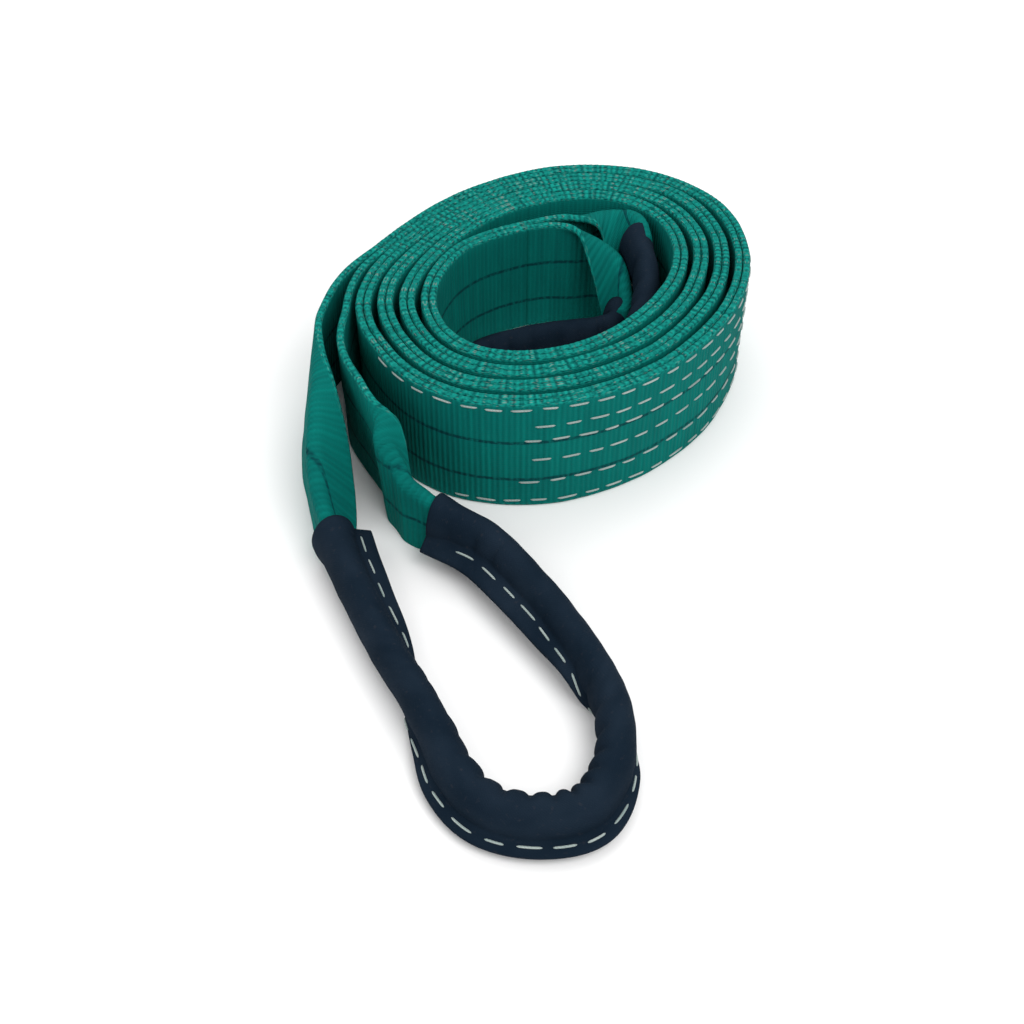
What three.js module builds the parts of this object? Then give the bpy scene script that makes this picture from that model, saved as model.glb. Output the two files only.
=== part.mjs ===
// A two-ply flat web lifting sling, 60 mm wide, lying coiled on its edge.
// Units are millimetres and +Z is up. The sling stands on z = 0.
import * as THREE from 'three';

// ---- Driving dimensions -------------------------------------------------------------------
const WEBBING_WIDTH = 60;
const PLY_THICKNESS = 3.4;
const PLY_GAP = 0.3;              // between the two plies of the body
const SLEEVE_WALL = 1.5;
const FLANGE_HALF_THICKNESS = 1.6;
const THREAD_THICKNESS = 0.7;
const THREAD_WIDTH = 1.4;
const THREAD_CLEARANCE = 0.3;     // between a thread and the face it lies on

// The coil winds clockwise, seen from above, from its outermost ring to its innermost one.
const OUTER_RING = { x: 21.6, y: 125.7, long: 104.4, short: 82.2, tiltDeg: 50 };
const INNER_RING = { x: 19.1, y: 129.6, long: 66.6, short: 47.3, tiltDeg: 52 };
const START_ANGLE_DEG = 150;
const TURNS_BETWEEN_RINGS = 4;
const COIL_TURNS = 3.95;
const STATIONS_PER_TURN = 40;
const BULGE = { height: 7, angleDeg: 180, halfWidthDeg: 36, fadeTurns: 5 };

// The body runs on straight from the coil to the throat of each eye.
const FRONT_THROAT = [[-62, 150], [-57.4, 157.4]];
const INNER_THROAT = [[-30.5, 140.5], [-22.5, 152], [-8, 162], [6, 168]];

// The middle of the whole sling's outline, which is the origin of the part.
const MIDDLE_X = 8.1;
const MIDDLE_Y = 35.7;

// Rows of lengthwise stitching on the outer ply: height above the floor and last station.
const FIRST_SEAM_STATION = 3;
const SEAM_ROWS = [
  { name: 'top_edge_seam', height: 56.5, lastStation: 36 },
  { name: 'bottom_edge_seam', height: 3.5, lastStation: 36 },
  { name: 'splice_seam_1', height: 47.5, lastStation: 28 },
  { name: 'splice_seam_2', height: 39.5, lastStation: 29 },
  { name: 'splice_seam_3', height: 28, lastStation: 28 },
  { name: 'splice_seam_4', height: 16, lastStation: 29 },
];

// Each station of an eye's leg: x, y, section height, section thickness, lean in degrees
// towards the left of the way to the sleeve, and height above the floor. The webbing stands
// on edge at the throat, half a millimetre clear of the body's cut end, and is bunched into a
// compact bundle where it enters the sleeve.
const FRONT_LEFT_LEG = [
  [-63.9, 150.4, 60, 3.4, 0, 0],
  [-72, 140, 60, 3.4, 1, 0],
  [-80, 128, 60, 3.4, 3, 0],
  [-86, 114, 60, 3.4, 5, 0],
  [-90, 100, 60, 3.4, 7, 0],
  [-91.5, 86, 60, 3.4, 9, 0],
  [-90.5, 70, 60, 3.4, 11, 0],
  [-88.5, 55, 57, 4, 14, 0],
  [-86, 40, 50, 5.5, 18, 0],
  [-82.5, 25, 40, 8, 24, 0.5],
  [-77.7, 6.2, 25, 9.5, 22, 1.2],
];
const FRONT_RIGHT_LEG = [
  [-60.8, 148.4, 60, 3.4, 0, 0],
  [-67.6, 138, 60, 3.4, 0, 0],
  [-72.4, 126, 60, 3.4, 0, 0],
  [-74.8, 112, 60, 3.4, 0, 0],
  [-75.6, 100, 60, 3.4, 0, 0],
  [-76, 88, 60, 3.4, 2, 0],
  [-74.5, 75, 60, 3.4, 3, 0],
  [-69.5, 62, 60, 3.4, 1, 0],
  [-62.5, 49, 60, 3.4, -3, 0],
  [-56, 36, 57, 4, -5, 0],
  [-49.5, 24, 48, 6, -3, 0],
  [-42, 14.5, 38, 8.5, 5, 0.5],
  [-35.3, 10.5, 28, 9.5, 10, 1.5],
];
const INNER_OUTER_LEG = [
  [5.8, 169.95, 60, 3.4, 0, 0],
  [18, 174.5, 60, 3.4, 0, 0],
  [31, 179, 60, 3.4, 0, 0],
  [43, 181, 54, 4, 0, 5],
  [53, 178, 40, 7, 0, 17],
  [60, 173, 24, 9, 0, 33],
];
const INNER_INNER_LEG = [
  [7.3, 166.6, 60, 3.4, 0, 0],
  [19, 168.8, 60, 3.4, 0, 0],
  [31, 167.5, 60, 3.4, 0, 0],
  [41, 162.5, 50, 5, 0, 4],
  [49, 156.2, 24, 9, 0, 16],
];

// Each station of a sleeve: x, y, height of its middle, half width, half height, angle of the
// stitched flange from the inside of the loop (90 is up), and length of the flange.
const FRONT_SLEEVE = [
  [-77, 4, 14.3, 8.5, 14, 8, 10],
  [-69, -16, 13, 7.6, 12.2, 8, 9],
  [-58.5, -40, 12, 7.2, 11.2, 0, 8],
  [-47, -64, 12.4, 7, 10.6, -45, 4],
  [-38, -80, 12.8, 7, 10.4, -110, 0.3],
  [-28, -100, 11.4, 7.4, 10, -150, 6],
  [-20, -117, 10.4, 8.2, 9.8, -155, 9],
  [-8, -130, 10, 8.6, 9.6, -158, 9.5],
  [10, -135, 10, 8.8, 9.5, -160, 10],
  [27, -130, 10, 8.6, 9.6, -158, 9.5],
  [38, -113, 11, 8, 10, -150, 6],
  [38.5, -93, 12.8, 7.6, 10.2, -110, 0.3],
  [33, -72, 12.6, 7.5, 10.6, -35, 4],
  [20, -46, 12.2, 7.6, 11.2, -5, 8],
  [5, -23, 12.6, 8, 11.8, 0, 9],
  [-10, -5, 13.8, 8.2, 12.8, 4, 9],
  [-33.5, 9.3, 15.8, 8.5, 15.2, 8, 9],
];
const INNER_SLEEVE = [
  [50, 154, 28.5, 7.5, 13.5, 20, 1.5],
  [54, 146, 24, 6.5, 11, 20, 1.5],
  [50, 138.5, 21, 6.5, 10, 20, 1.5],
  [38, 136, 18, 6.5, 9.5, 20, 4],
  [18, 135, 15, 6.5, 9.5, 20, 7],
  [-2, 131, 13, 6.5, 9.5, 20, 7],
  [-17, 123, 12.5, 6.5, 9.5, 20, 7],
  [-24, 110, 12, 6.5, 9.5, 20, 7],
  [-17, 96, 12, 6.5, 9.5, 20, 7],
  [0, 86, 13, 6.5, 9.5, 20, 7],
  [22, 84.5, 15, 6.5, 9.5, 20, 7],
  [41, 93, 20, 6.5, 9.5, 20, 7],
  [53.5, 110.5, 27, 6.5, 9.5, 20, 7],
  [62.5, 130, 34, 6.5, 10, 20, 7],
  [65, 150, 41, 6.5, 11, 20, 6],
  [61, 170, 45, 7.5, 13.5, 20, 5],
];

// ---- Materials ----------------------------------------------------------------------------
const WEBBING = { color: 0x0b8272, roughness: 0.75, metalness: 0 };
const SLEEVE_CLOTH = { color: 0x16222f, roughness: 0.9, metalness: 0 };
const THREAD = { color: 0xc9cfcc, roughness: 0.7, metalness: 0 };

function addPiece(group, name, geometry, look) {
  const mesh = new THREE.Mesh(geometry, new THREE.MeshStandardMaterial(look));
  mesh.name = name;
  group.add(mesh);
}

// ---- Bending straight blocks --------------------------------------------------------------

// Moves every point of a straight block to the place that place(point) gives it.
function reshape(geometry, place) {
  const position = geometry.getAttribute('position');
  const point = new THREE.Vector3();
  for (let i = 0; i < position.count; i += 1) {
    point.copy(place(point.fromBufferAttribute(position, i)));
    position.setXYZ(i, point.x, point.y, point.z);
  }
  geometry.computeVertexNormals();
  return geometry;
}

// A unit bar along X in equal steps: x runs 0 to 1, y and z run -0.5 to 0.5.
function unitBar(steps) {
  return new THREE.BoxGeometry(1, 1, 1, steps, 1, 1).translate(0.5, 0, 0);
}

// A plan point with the direction to the left of travel, which is outwards on the coil.
function stationAt(point, index, points) {
  const before = points[Math.max(index - 1, 0)];
  const after = points[Math.min(index + 1, points.length - 1)];
  const travel = new THREE.Vector2().subVectors(after, before).normalize();
  return { point, left: new THREE.Vector2(-travel.y, travel.x) };
}

// ---- The coiled body ----------------------------------------------------------------------

function pointOnRing(ring, angleDeg) {
  const tilt = THREE.MathUtils.degToRad(ring.tiltDeg);
  const turn = THREE.MathUtils.degToRad(angleDeg) - tilt;
  const fromMiddle = new THREE.Vector2(ring.long * Math.cos(turn), ring.short * Math.sin(turn));
  return fromMiddle.rotateAround(new THREE.Vector2(), tilt).add(new THREE.Vector2(ring.x, ring.y));
}

// The body's middle line in plan after a number of turns from the start of the coil.
function coilPoint(turns) {
  const angleDeg = START_ANGLE_DEG - 360 * turns;
  const outer = pointOnRing(OUTER_RING, angleDeg);
  const inner = pointOnRing(INNER_RING, angleDeg);
  const point = outer.lerp(inner, turns / TURNS_BETWEEN_RINGS);
  const fromBulge = THREE.MathUtils.euclideanModulo(angleDeg - BULGE.angleDeg + 180, 360) - 180;
  if (Math.abs(fromBulge) < BULGE.halfWidthDeg) {
    const swell = Math.cos((Math.PI / 2) * (fromBulge / BULGE.halfWidthDeg)) ** 2;
    const outward = THREE.MathUtils.degToRad(angleDeg);
    const height = BULGE.height * (1 - turns / BULGE.fadeTurns) * swell;
    point.add(new THREE.Vector2(Math.cos(outward), Math.sin(outward)).multiplyScalar(height));
  }
  return point;
}

function bodyStations() {
  const line = FRONT_THROAT.map(([x, y]) => new THREE.Vector2(x, y));
  const coilSteps = Math.round(COIL_TURNS * STATIONS_PER_TURN);
  for (let step = 0; step <= coilSteps; step += 1) {
    line.push(coilPoint(step / STATIONS_PER_TURN));
  }
  for (const [x, y] of INNER_THROAT) {
    line.push(new THREE.Vector2(x, y));
  }
  return line.map(stationAt);
}

const BODY = bodyStations();

// A bar laid along the body: offset outwards from its middle, thickness, middle height and width.
function barAlong(stations, offset, thickness, height, width) {
  const steps = stations.length - 1;
  return reshape(unitBar(steps), (p) => {
    const { point, left } = stations[Math.round(p.x * steps)];
    const sideways = offset + p.y * thickness;
    return new THREE.Vector3(point.x + left.x * sideways, point.y + left.y * sideways, height + p.z * width);
  });
}

function addBody(group) {
  const plyOffset = (PLY_THICKNESS + PLY_GAP) / 2;
  const middle = WEBBING_WIDTH / 2;
  const outer = barAlong(BODY, plyOffset, PLY_THICKNESS, middle, WEBBING_WIDTH);
  const inner = barAlong(BODY, -plyOffset, PLY_THICKNESS, middle, WEBBING_WIDTH);
  addPiece(group, 'outer_ply', outer, WEBBING);
  addPiece(group, 'inner_ply', inner, WEBBING);
}

function addBodySeams(group) {
  const faceOffset = PLY_THICKNESS + PLY_GAP / 2;
  const offset = faceOffset + THREAD_CLEARANCE + THREAD_THICKNESS / 2;
  for (const row of SEAM_ROWS) {
    const stitched = BODY.slice(FIRST_SEAM_STATION, row.lastStation + 1);
    const thread = barAlong(stitched, offset, THREAD_THICKNESS, row.height, THREAD_WIDTH);
    addPiece(group, row.name, thread, THREAD);
  }
}

// ---- The legs of the eyes -----------------------------------------------------------------

// Smooth values between stations, one spline for each group of three columns.
function smoothColumns(stations) {
  const columns = stations[0].length;
  const curves = [];
  for (let first = 0; first < columns; first += 3) {
    const points = stations.map((row) => new THREE.Vector3(row[first], row[first + 1], row[first + 2] ?? 0));
    curves.push(new THREE.CatmullRomCurve3(points, false, 'catmullrom'));
  }
  return (along) => curves.flatMap((curve) => curve.getPoint(along).toArray());
}

// Left of travel at a place along a route whose first two columns are x and y.
function leftAlong(valuesAt, along) {
  const nearby = 0.004;
  const [x0, y0] = valuesAt(Math.max(along - nearby, 0));
  const [x1, y1] = valuesAt(Math.min(along + nearby, 1));
  return new THREE.Vector2(y0 - y1, x1 - x0).normalize();
}

function leg(stations, steps) {
  const valuesAt = smoothColumns(stations);
  return reshape(unitBar(steps), (p) => {
    const [x, y, splineTall, thick, leanDeg, splineRise] = valuesAt(p.x);
    const tall = Math.min(splineTall, WEBBING_WIDTH);
    const rise = Math.max(splineRise, 0);
    const left = leftAlong(valuesAt, p.x);
    const lean = THREE.MathUtils.degToRad(leanDeg);
    const half = (tall * Math.cos(lean) + thick * Math.abs(Math.sin(lean))) / 2;
    const sideways = p.y * thick * Math.cos(lean) + p.z * tall * Math.sin(lean);
    const upward = p.z * tall * Math.cos(lean) - p.y * thick * Math.sin(lean);
    return new THREE.Vector3(x + left.x * sideways, y + left.y * sideways, rise + half + upward);
  });
}

// ---- The sleeves of the eyes --------------------------------------------------------------

// Distance from the middle of an oval to its edge in one direction.
function ovalRadius(halfWidth, halfHeight, angle) {
  return 1 / Math.hypot(Math.cos(angle) / halfWidth, Math.sin(angle) / halfHeight);
}

// Puts a point given by its angle and distance in the sleeve's section at its place in space.
function placeInSection(valuesAt, along, angle, distance, sideStep = 0) {
  const [x, y, z] = valuesAt(along);
  const left = leftAlong(valuesAt, along);
  const sideways = Math.cos(angle) * distance - Math.sin(angle) * sideStep;
  const upward = Math.sin(angle) * distance + Math.cos(angle) * sideStep;
  return new THREE.Vector3(x + left.x * sideways, y + left.y * sideways, z + upward);
}

// Section of a sleeve in unit form: the bore at radius 0.5, the outside at 1, the flange tip at 2.
function sleeveSection() {
  const rootHalfAngle = 0.15;
  const tipHalfAngle = 0.075;
  const section = new THREE.Shape();
  section.absarc(0, 0, 1, rootHalfAngle, 2 * Math.PI - rootHalfAngle, false);
  section.lineTo(2 * Math.cos(tipHalfAngle), -2 * Math.sin(tipHalfAngle));
  section.lineTo(2 * Math.cos(tipHalfAngle), 2 * Math.sin(tipHalfAngle));
  section.closePath();
  const bore = new THREE.Path();
  bore.absarc(0, 0, 0.5, 0, 2 * Math.PI, true);
  section.holes.push(bore);
  return section;
}

function sleeve(stations, steps) {
  const valuesAt = smoothColumns(stations);
  const options = { depth: 1, steps, bevelEnabled: false, curveSegments: 9 };
  return reshape(new THREE.ExtrudeGeometry(sleeveSection(), options), (p) => {
    const [, , , halfWidth, halfHeight, flangeDeg, flangeLength] = valuesAt(p.z);
    const angle = Math.atan2(p.y, p.x) + THREE.MathUtils.degToRad(flangeDeg);
    const reach = Math.hypot(p.x, p.y);
    const outside = ovalRadius(halfWidth, halfHeight, angle);
    const distance = reach < 0.75 ? outside - SLEEVE_WALL : outside + Math.max(reach - 1, 0) * flangeLength;
    return placeInSection(valuesAt, p.z, angle, distance);
  });
}

// The bunched webbing inside a sleeve, with an even gap to the sleeve's bore.
function bunchedWebbing(stations, steps) {
  const valuesAt = smoothColumns(stations);
  const gapToBore = 1.6;
  const endInset = 0.012;
  const cylinder = new THREE.CylinderGeometry(1, 1, 1, 12, steps).rotateX(Math.PI / 2);
  return reshape(cylinder, (p) => {
    const along = endInset + (p.z + 0.5) * (1 - 2 * endInset);
    const [, , , halfWidth, halfHeight] = valuesAt(along);
    const angle = Math.atan2(p.y, p.x);
    const inset = SLEEVE_WALL + gapToBore;
    const distance = ovalRadius(halfWidth - inset, halfHeight - inset, angle) * Math.hypot(p.x, p.y);
    return placeInSection(valuesAt, along, angle, distance);
  });
}

// The thread of a sleeve's seam along the flange; side is +1 or -1 for the flange's two faces.
function sleeveSeam(stations, steps, side) {
  const valuesAt = smoothColumns(stations);
  const endInset = 0.01;
  const leastReach = 1.4;
  return reshape(unitBar(steps), (p) => {
    const along = endInset + p.x * (1 - 2 * endInset);
    const [, , , halfWidth, halfHeight, flangeDeg, flangeLength] = valuesAt(along);
    const angle = THREE.MathUtils.degToRad(flangeDeg);
    const reach = Math.max(flangeLength * 0.45, leastReach) + p.y * THREAD_WIDTH;
    const fromFlange = FLANGE_HALF_THICKNESS + THREAD_CLEARANCE + THREAD_THICKNESS * 0.5;
    const sideStep = side * fromFlange + p.z * THREAD_THICKNESS;
    const distance = ovalRadius(halfWidth, halfHeight, angle) + reach;
    return placeInSection(valuesAt, along, angle, distance, sideStep);
  });
}

function addEye(group, name, sleeveStations, steps) {
  addPiece(group, `${name}_webbing`, bunchedWebbing(sleeveStations, steps), WEBBING);
  addPiece(group, `${name}_sleeve`, sleeve(sleeveStations, steps), SLEEVE_CLOTH);
  addPiece(group, `${name}_needle_seam`, sleeveSeam(sleeveStations, steps, 1), THREAD);
  addPiece(group, `${name}_bobbin_seam`, sleeveSeam(sleeveStations, steps, -1), THREAD);
}

// ---- The sling ----------------------------------------------------------------------------

const sling = new THREE.Group();
sling.position.set(-MIDDLE_X, -MIDDLE_Y, 0);
addBody(sling);
addBodySeams(sling);
addPiece(sling, 'front_eye_left_leg', leg(FRONT_LEFT_LEG, 36), WEBBING);
addPiece(sling, 'front_eye_right_leg', leg(FRONT_RIGHT_LEG, 40), WEBBING);
addEye(sling, 'front_eye', FRONT_SLEEVE, 44);
addPiece(sling, 'inner_eye_outer_leg', leg(INNER_OUTER_LEG, 18), WEBBING);
addPiece(sling, 'inner_eye_inner_leg', leg(INNER_INNER_LEG, 16), WEBBING);
addEye(sling, 'inner_eye', INNER_SLEEVE, 40);

export default sling;
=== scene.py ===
"""Looks of a two-ply flat web lifting sling, 60 mm wide, lying coiled on its edge.

Lengths are millimetres on the drawing plane, and become metres in the part's frame in to_part().
"""
import math

import bpy
import numpy as np
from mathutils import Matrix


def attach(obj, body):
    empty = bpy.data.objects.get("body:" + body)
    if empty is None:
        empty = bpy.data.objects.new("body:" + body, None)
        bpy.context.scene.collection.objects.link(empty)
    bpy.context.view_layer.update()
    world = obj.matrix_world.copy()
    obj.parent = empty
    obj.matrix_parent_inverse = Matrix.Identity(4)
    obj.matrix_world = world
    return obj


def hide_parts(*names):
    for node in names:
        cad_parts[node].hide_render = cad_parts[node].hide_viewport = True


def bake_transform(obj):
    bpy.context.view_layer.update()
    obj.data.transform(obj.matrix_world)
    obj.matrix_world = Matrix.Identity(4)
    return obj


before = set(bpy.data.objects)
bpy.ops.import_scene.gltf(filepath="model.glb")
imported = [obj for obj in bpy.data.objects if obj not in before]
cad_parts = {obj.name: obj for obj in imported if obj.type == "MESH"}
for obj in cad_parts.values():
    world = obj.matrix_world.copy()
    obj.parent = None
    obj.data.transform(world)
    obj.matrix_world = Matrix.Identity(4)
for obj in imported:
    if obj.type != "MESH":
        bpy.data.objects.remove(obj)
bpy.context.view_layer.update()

# ---- Sizes, in millimetres ------------------------------------------------------------------
WEBBING_WIDTH = 60.0
PLY_THICKNESS = 3.4
PLY_GAP = 0.3
SLEEVE_WALL = 1.5
SELVEDGE = 1.4                  # from a face's last flat line to the rim of its rounded edge
FOLDED_THICKNESS = 1.6          # of the webbing in the sleeves, thinned so that its folds fit
FLOOR_CLEARANCE = 0.05          # nothing is lower than this above the floor
DRAWING_MIDDLE = np.array([8.1, 35.7, 0.0])
SPAN_SAMPLES = 24               # spline samples between two stations of a leg or sleeve

# The coil winds clockwise, seen from above, from its outermost ring to its innermost one.
OUTER_RING = {"x": 21.6, "y": 125.7, "long": 104.4, "short": 82.2, "tilt": 50.0}
INNER_RING = {"x": 19.1, "y": 129.6, "long": 66.6, "short": 47.3, "tilt": 52.0}
START_ANGLE = 150.0
TURNS_BETWEEN_RINGS = 4.0
COIL_TURNS = 3.95
STATIONS_PER_TURN = 40
FINE_PER_STATION = 4
BULGE = {"height": 7.0, "angle": 180.0, "half_width": 36.0, "fade_turns": 5.0}
FRONT_THROAT = [[-62, 150], [-57.4, 157.4]]
INNER_THROAT = [[-30.5, 140.5], [-22.5, 152], [-8, 162], [6, 168]]

# Rows of stitching on the outer ply: CAD node, height above the floor, first and last station
# of the body's route, and how far after the first station the first stitch starts.
SEAM_ROWS = [
    ("top_edge_seam", 56.5, 3, 36, 0.0),
    ("bottom_edge_seam", 3.5, 3, 32, 5.0),
    ("splice_seam_1", 47.0, 3, 29, 2.0),
    ("splice_seam_2", 39.0, 3, 30, 7.0),
    ("splice_seam_3", 28.0, 3, 29, 4.0),
    ("splice_seam_4", 15.0, 3, 30, 9.0),
]

# Each station of a leg: x, y, width of the flap folded over at the top, angle it is bent by,
# lean of the standing part in degrees, height above the floor, and the greatest height that its
# section may have. BLENDS lists, for a leg's upper and lower piece, where each would start and
# end a bend from one moving body to the next; these values are not used, and such pieces are
# left in place, unattached.
FRONT_LEFT_LEG = [
    [-63.57, 150.98, 0, 0, 0, 0, 60],
    [-72, 140, 0, 0, 1, 0, 60],
    [-80, 128, 0, 0, 3, 0, 60],
    [-86, 114, 0, 0, 5, 0, 60],
    [-90, 100, 0, 0, 7, 0, 60],
    [-91, 86, 1, 15, 9, 0, 60],
    [-89.5, 70, 3, 45, 10, 0, 60],
    [-86, 55, 6, 80, 9, 0, 57],
    [-82, 40, 12, 118, 6, 0, 49],
    [-78.5, 25, 20, 140, 2, 0.3, 39],
    [-75.5, 10, 26, 150, 0, 0.8, 27],
    [-73.7, -1, 28, 162, 0, 1.8, 20],
    [-70.5, -11, 28, 168, 0, 2.5, 18],
]
FRONT_LEFT_BLENDS = (((-63.5, 151, 30), (-78, 131, 30)), ((-84.5, 32, 15), (-77, 4, 15)))
FRONT_RIGHT_LEG = [
    [-60.43, 149.02, 0, 0, 0, 0, 60],
    [-67.6, 138, 0, 0, 0, 0, 60],
    [-72.4, 126, 0, 0, 0, 0, 60],
    [-74.8, 112, 0, 0, 0, 0, 60],
    [-75.6, 100, 0, 0, 0, 0, 60],
    [-76, 88, 0, 0, 0, 0, 60],
    [-74.5, 75, 0, 0, -1, 0, 60],
    [-69.5, 62, 0, 0, -2, 0, 60],
    [-62.5, 49, 0, 0, -3, 0, 60],
    [-56, 36, 2, 50, -4, 0, 57],
    [-49.5, 24, 13, 155, -3, 0, 46],
    [-42.5, 15.5, 24, 170, 0, 0.5, 35],
    [-35.3, 10.5, 28, 172, 2, 1.2, 28],
    [-25, 4, 29, 172, 3, 2.5, 24],
]
FRONT_RIGHT_BLENDS = (((-60.5, 149, 30), (-73, 122, 30)), ((-50, 25, 15), (-33.5, 9.3, 15)))
INNER_OUTER_LEG = [
    [5.27, 169.7, 0, 0, 0, 0, 60],
    [18, 174.5, 1, 10, 0, 0, 60],
    [31, 179, 4, 50, 0, 0, 60],
    [43, 181, 10, 95, 0, 6, 53],
    [52.5, 178, 20, 140, 0, 18, 39],
    [59.5, 172.5, 27, 160, 0, 32, 26],
    [63, 163, 29, 165, 0, 33, 21],
]
INNER_INNER_LEG = [
    [6.73, 166.3, 0, 0, 0, 0, 60],
    [19, 168.8, 0, 0, 0, 0, 60],
    [31, 167.5, 3, 40, 0, 0, 60],
    [41, 162.5, 10, 110, 0, 2, 51],
    [49, 155.5, 19, 145, 0, 5, 38],
    [53, 147, 27, 160, 0, 7, 24],
    [51, 140, 29, 165, 0, 9, 19],
]

# Each station of a sleeve: x, y, height of its middle, half width, half height, angle of the
# stitched flange from the inside of the loop (90 is up), and length of the flange.
FRONT_SLEEVE = [
    [-75.8, 1.2, 13.2, 8.6, 12.6, -25, 9],
    [-69, -16, 13, 7.6, 12.2, -22, 8.5],
    [-58.5, -40, 12, 7.2, 11.2, -25, 7],
    [-47, -64, 12.4, 7, 10.6, -45, 4],
    [-38, -80, 12.8, 7, 10.4, -110, 0.3],
    [-28, -100, 11.4, 7.4, 10, -150, 4],
    [-20, -117, 10.4, 8.2, 9.8, -155, 6],
    [-8, -130, 10, 8.6, 9.6, -158, 6.2],
    [10, -134.5, 10, 8.8, 9.5, -160, 6.2],
    [27, -130, 10, 8.6, 9.6, -158, 6.2],
    [37, -113, 11, 8, 10, -150, 4],
    [38.5, -93, 12.8, 7.6, 10.2, -110, 0.3],
    [33, -72, 12.6, 7.5, 10.6, -35, 4],
    [20, -46, 12.2, 7.6, 11.2, -20, 8],
    [5, -23, 12.6, 8, 11.8, -20, 9],
    [-10, -5, 13.8, 8.2, 12.8, -24, 9],
    [-31.8, 8.3, 15.4, 8.5, 14.8, -34, 7],
]
INNER_SLEEVE = [
    [53.3, 147.5, 18.5, 7.5, 12.5, -75, 1.5],
    [50, 139.5, 17.5, 6.5, 10.5, -75, 2],
    [38, 136, 17, 6.5, 9.5, -75, 3],
    [18, 135, 15, 6.5, 9.5, -75, 3],
    [-2, 131, 13, 6.5, 9.5, -75, 3],
    [-17, 123, 12.5, 6.5, 9.5, -75, 3],
    [-24, 110, 12, 6.5, 9.5, -75, 3],
    [-17, 96, 12, 6.5, 9.5, -75, 3],
    [0, 86, 13, 6.5, 9.5, -75, 3],
    [22, 84.5, 15, 6.5, 9.5, -75, 3],
    [41, 93, 20, 6.5, 9.5, -75, 3],
    [53.5, 110.5, 27, 6.5, 9.5, -75, 3],
    [62.5, 130, 34, 6.5, 10, -75, 3],
    [65, 150, 41, 6.5, 11, -75, 3],
    [61, 170, 45, 7.5, 13.5, -75, 3],
]


# ---- Curves ---------------------------------------------------------------------------------

def to_part(points):
    """Drawing-plane millimetres to metres in the part's frame."""
    return (np.asarray(points, float) - DRAWING_MIDDLE) / 1000.0


def smooth_rows(rows, per_span):
    """A uniform Catmull-Rom spline through the rows, per_span samples for each span."""
    rows = np.asarray(rows, float)
    padded = np.vstack([2 * rows[0] - rows[1], rows, 2 * rows[-1] - rows[-2]])
    t = (np.arange(per_span) / per_span)[:, None]
    spans = []
    for i in range(1, len(padded) - 2):
        a, b, c, d = padded[i - 1:i + 3]
        spans.append(0.5 * (2 * b + (c - a) * t + (2 * a - 5 * b + 4 * c - d) * t ** 2
                            + (3 * b - a - 3 * c + d) * t ** 3))
    return np.vstack(spans + [rows[-1:]])


def arc_lengths(points):
    """Distance along a line of points, from its first one to each."""
    steps = np.linalg.norm(np.diff(points, axis=0), axis=1)
    return np.concatenate([[0.0], np.cumsum(steps)])


def resample(rows, spacing):
    """Rows at an even spacing along their plan route, with the distance along it."""
    along = arc_lengths(rows[:, :2])
    count = max(int(round(along[-1] / spacing)), 2)
    even = np.linspace(0, along[-1], count + 1)
    columns = [np.interp(even, along, rows[:, k]) for k in range(rows.shape[1])]
    return np.column_stack(columns), even


def left_of(route):
    """Unit vectors to the left of travel along a plan route."""
    travel = np.gradient(route, axis=0)
    travel /= np.linalg.norm(travel, axis=1)[:, None]
    return np.column_stack([-travel[:, 1], travel[:, 0]])


def soften(route, reach, passes):
    """Averages a route with its neighbours, keeping its ends where they are."""
    route = route.copy()
    for _ in range(passes):
        moved = route.copy()
        moved[reach:-reach] = (route[:-2 * reach] + route[reach:-reach] + route[2 * reach:]) / 3
        route = moved
    return route


def smoothstep(x):
    """An eased climb from 0 at x = 0 to 1 at x = 1."""
    x = np.clip(x, 0, 1)
    return x * x * (3 - 2 * x)


def unevenness(along, across, size):
    """A smooth, repeatable unevenness of about +-1, with features of about the given size."""
    k = 2 * math.pi / size
    return (np.sin(k * along + 0.6 * k * across + 0.4) * 0.4
            + np.sin(1.7 * k * along - 0.9 * k * across + 2.1) * 0.3
            + np.sin(0.55 * k * along + 1.3 * k * across + 4.0) * 0.3)


# ---- The body's route -----------------------------------------------------------------------

def ring_point(ring, angle):
    """The point of a tilted ellipse at an angle in degrees."""
    tilt = math.radians(ring["tilt"])
    turn = math.radians(angle) - tilt
    x = ring["long"] * math.cos(turn)
    y = ring["short"] * math.sin(turn)
    return np.array([ring["x"] + x * math.cos(tilt) - y * math.sin(tilt),
                     ring["y"] + x * math.sin(tilt) + y * math.cos(tilt)])


def coil_point(turns):
    """The body's middle line in plan after a number of turns from the start of the coil."""
    angle = START_ANGLE - 360 * turns
    share = turns / TURNS_BETWEEN_RINGS
    point = ring_point(OUTER_RING, angle) * (1 - share) + ring_point(INNER_RING, angle) * share
    from_bulge = (angle - BULGE["angle"] + 180) % 360 - 180
    if abs(from_bulge) < BULGE["half_width"]:
        swell = math.cos(math.pi / 2 * from_bulge / BULGE["half_width"]) ** 2
        height = BULGE["height"] * (1 - turns / BULGE["fade_turns"]) * swell
        outward = math.radians(angle)
        point = point + height * np.array([math.cos(outward), math.sin(outward)])
    return point


def body_route():
    """The body's middle line at 1 mm spacing, and the distance of each CAD station along it."""
    steps = int(round(COIL_TURNS * STATIONS_PER_TURN))
    stations = [np.array(p, float) for p in FRONT_THROAT]
    stations += [coil_point(i / STATIONS_PER_TURN) for i in range(steps + 1)]
    stations += [np.array(p, float) for p in INNER_THROAT]
    line = smooth_rows(stations, FINE_PER_STATION)
    station_along = arc_lengths(line)[::FINE_PER_STATION]
    even, along = resample(line, 1.0)
    return soften(even, 5, 3), along, station_along


# ---- Meshes ---------------------------------------------------------------------------------

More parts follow.
